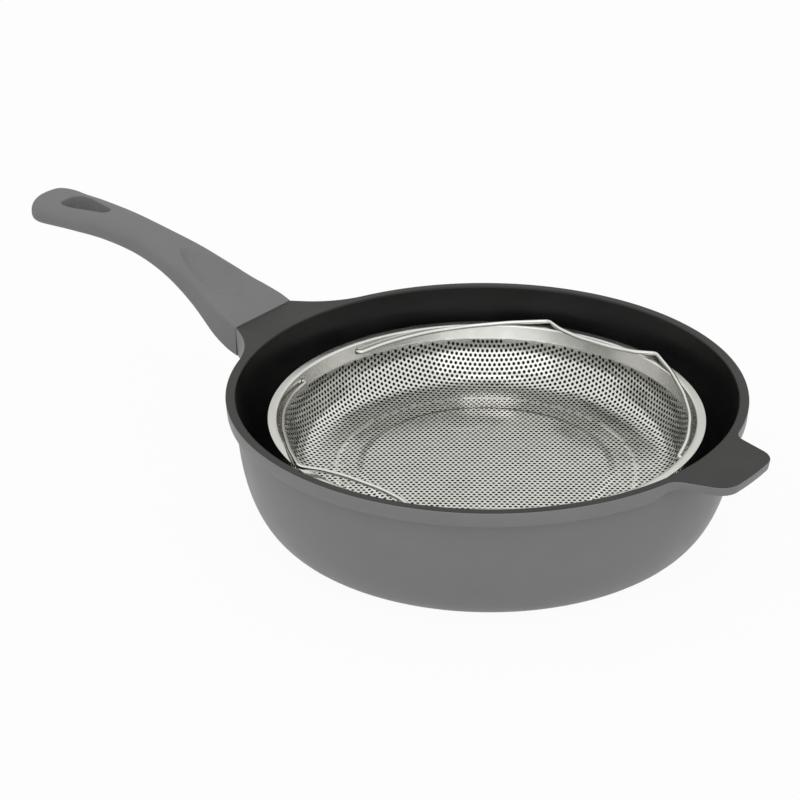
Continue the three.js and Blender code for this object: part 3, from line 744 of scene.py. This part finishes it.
# Legs. Four loops of the same bright stainless wire, a little thicker, bent square with round corners
# and spot-welded under the basket's floor; they keep the food off the water.
leg_wire, leg_bend = 3 * mm, 6 * mm
leg_reach, leg_half = 79.6 * mm, 12 * mm
leg_top, leg_foot = 24.2 * mm, 6.3 * mm
leg_corners = [(leg_reach, y, z) for y, z in [(-leg_half, leg_top), (-leg_half, leg_foot),
                                              (leg_half, leg_foot), (leg_half, leg_top)]]
leg_loop = rounded_ends(bent(leg_corners, [leg_bend, leg_bend]), leg_wire / 2)
for k in range(4):
    a = math.radians(45 + 90 * k)
    path = [(x * math.cos(a) - y * math.sin(a), x * math.sin(a) + y * math.cos(a), z) for x, y, z in leg_loop]
    piece = wire(f"leg_wire_{k + 1}", path, leg_wire)
    piece.data.materials.append(steel)
    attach(piece, "basket")
    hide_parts(f"basket_leg_{k + 1}")


# Base disc. A stainless disc pressed into the underside for induction hobs, faced on a lathe:
# fine rings, really about 0.2 mm apart, drawn at about 1.6 mm so that they show.
ring_spacing = 1.579 * mm
wave_length = 2 * math.pi / 20
turned_steel, disc = finish_of("turned_stainless_disc")
place = node(turned_steel, "ShaderNodeTexCoord").outputs["Object"]
lathe_rings = node(turned_steel, "ShaderNodeTexWave",
                   {"wave_type": "RINGS", "rings_direction": "Z", "Scale": wave_length / ring_spacing,
                    "Distortion": 0.3}, {"Vector": place}).outputs["Fac"]
patch = node(turned_steel, "ShaderNodeTexNoise", {"Scale": 1 / (20 * mm), "Detail": 3},
             {"Vector": place}).outputs["Fac"]
tint = node(turned_steel, "ShaderNodeMix", {"data_type": "RGBA", 6: hue("#c9c8c3"), 7: hue("#bdbbb5")},
            {0: patch}).outputs[2]
rough = node(turned_steel, "ShaderNodeMapRange", {"To Min": 0.26, "To Max": 0.4},
             {"Value": lathe_rings}).outputs["Result"]
bump = node(turned_steel, "ShaderNodeBump", {"Strength": 0.2, "Distance": 0.03 * mm},
            {"Height": lathe_rings}).outputs["Normal"]
for socket, source in [("Base Color", tint), ("Roughness", rough), ("Normal", bump)]:
    turned_steel.node_tree.links.new(source, disc.inputs[socket])
disc.inputs["Metallic"].default_value = 1
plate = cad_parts["induction_plate"]
plate.data.materials.clear()
plate.data.materials.append(turned_steel)


# Screw and washer. A cold-headed screw and a stamped washer that hold the handle on the casting's tang,
# let into the handle from below. Zinc-plated steel: a cool grey, cloudy with a spangle of about 1.5 mm.
zinc, plating = finish_of("zinc_plated_steel")
place = node(zinc, "ShaderNodeTexCoord").outputs["Object"]
spangle = node(zinc, "ShaderNodeTexNoise", {"Scale": 1 / (1.5 * mm), "Detail": 2},
               {"Vector": place}).outputs["Fac"]
tint = node(zinc, "ShaderNodeMix", {"data_type": "RGBA", 6: hue("#c4c6c8"), 7: hue("#aeb0b1")},
            {0: spangle}).outputs[2]
rough = node(zinc, "ShaderNodeMapRange", {"To Min": 0.25, "To Max": 0.42},
             {"Value": spangle}).outputs["Result"]
for socket, source in [("Base Color", tint), ("Roughness", rough)]:
    zinc.node_tree.links.new(source, plating.inputs[socket])
plating.inputs["Metallic"].default_value = 1
for name in ("handle_screw", "handle_washer"):
    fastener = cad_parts[name]
    fastener.data.materials.clear()
    fastener.data.materials.append(zinc)


# Floor, light and camera. A white paper floor, open under the pan's base so that the underside shows
# from below, in a white room with two softboxes.
floor_radius = 10
bpy.ops.object.select_all(action="DESELECT")
bpy.ops.mesh.primitive_circle_add(vertices=96, radius=floor_radius)
ground = bpy.context.object
ground.name = "floor"
bpy.ops.object.mode_set(mode="EDIT")
bpy.ops.mesh.primitive_circle_add(vertices=96, radius=standing_radius)
bpy.ops.mesh.select_all(action="SELECT")
bpy.ops.mesh.bridge_edge_loops()
bpy.ops.mesh.normals_make_consistent(inside=False)
bpy.ops.object.mode_set(mode="OBJECT")
if ground.data.polygons[0].normal.z < 0:
    ground.data.flip_normals()
# White paper: matt, and shown as white to the eye and in the steel, with a little of the pan's shadow
paper, board = finish_of("white_paper")
board.inputs["Base Color"].default_value = hue("#dedede")
board.inputs["Roughness"].default_value = 0.9
ray = node(paper, "ShaderNodeLightPath").outputs
seen = node(paper, "ShaderNodeMath", {"operation": "MAXIMUM"},
            {0: ray["Is Camera Ray"], 1: ray["Is Glossy Ray"]}).outputs[0]
whitened = node(paper, "ShaderNodeMath", {"operation": "MULTIPLY", 1: 0.95}, {0: seen}).outputs[0]
glow = node(paper, "ShaderNodeEmission", {"Strength": 1.0}).outputs[0]
shown = node(paper, "ShaderNodeMixShader", {}, {0: whitened, 1: board.outputs[0], 2: glow}).outputs[0]
paper.node_tree.links.new(shown, paper.node_tree.nodes["Material Output"].inputs["Surface"])
ground.data.materials.append(paper)

# The room is white all round, and dimmer and warmer low down, most of all behind the pan, as the steel shows
room_lean = (0.230, -0.292, 0.928)
room_low, room_high, room_light = (0.49, 0.48, 0.43, 1), (1.12, 1.12, 1.115, 1), (0.80, 0.80, 0.80, 1)
world = bpy.data.worlds.new("studio")
bpy.context.scene.world = world
world.use_nodes = True
ray = node(world, "ShaderNodeLightPath").outputs
way = node(world, "ShaderNodeTexCoord").outputs["Generated"]
lean = node(world, "ShaderNodeVectorMath", {"operation": "DOT_PRODUCT", 1: room_lean},
            {0: way}).outputs["Value"]
lit = node(world, "ShaderNodeMapRange", {"From Min": 0.045, "From Max": 0.115},
           {"Value": lean}).outputs["Result"]
mirrored = node(world, "ShaderNodeMix", {"data_type": "RGBA", 6: room_low, 7: room_high}, {0: lit}).outputs[2]
plain = node(world, "ShaderNodeMix", {"data_type": "RGBA", 6: room_light, 7: (1, 1, 1, 1)},
             {0: ray["Is Camera Ray"]}).outputs[2]
room = node(world, "ShaderNodeMix", {"data_type": "RGBA"},
            {0: ray["Is Glossy Ray"], 6: plain, 7: mirrored}).outputs[2]
world.node_tree.links.new(room, world.node_tree.nodes["Background"].inputs["Color"])

# Two softboxes, a wide one low beside the camera and a smaller one overhead: place, width, height, watts
for name, at, width, height, power in [("front_softbox", (1.15, -1.913, 0.82), 3.0, 1.55, 6.6),
                                       ("top_softbox", (0.39, -0.601, 2.08), 0.75, 0.75, 3.2)]:
    bpy.ops.object.light_add(type="AREA", location=at)
    lamp = bpy.context.object
    lamp.name = name
    lamp.data.shape, lamp.data.size, lamp.data.size_y = "RECTANGLE", width, height
    lamp.data.energy = power
    lamp.visible_camera = False
    lamp.rotation_mode = "QUATERNION"
    lamp.rotation_quaternion = (-lamp.location).to_track_quat("-Z", "Y")

# The camera stands as the photograph's did, with a slight roll
camera_at, camera_looks = (0.67465, -0.93587, 0.63765), (-0.55385, 0.70421, -0.44422)
camera_roll = math.radians(-0.555)
bpy.ops.object.camera_add(location=camera_at)
camera = bpy.context.object
camera.data.lens, camera.data.sensor_width = 103.5, 36
back = -Vector(camera_looks).normalized()
right = Vector((0, 0, 1)).cross(back).normalized()
upright = Matrix((right, back.cross(right), back)).transposed().to_quaternion()
roll = Matrix.Rotation(camera_roll, 3, "Z").to_quaternion()
camera.rotation_mode = "QUATERNION"
camera.rotation_quaternion = upright @ roll
bpy.context.scene.camera = camera
bpy.context.scene.view_settings.view_transform = "Standard"
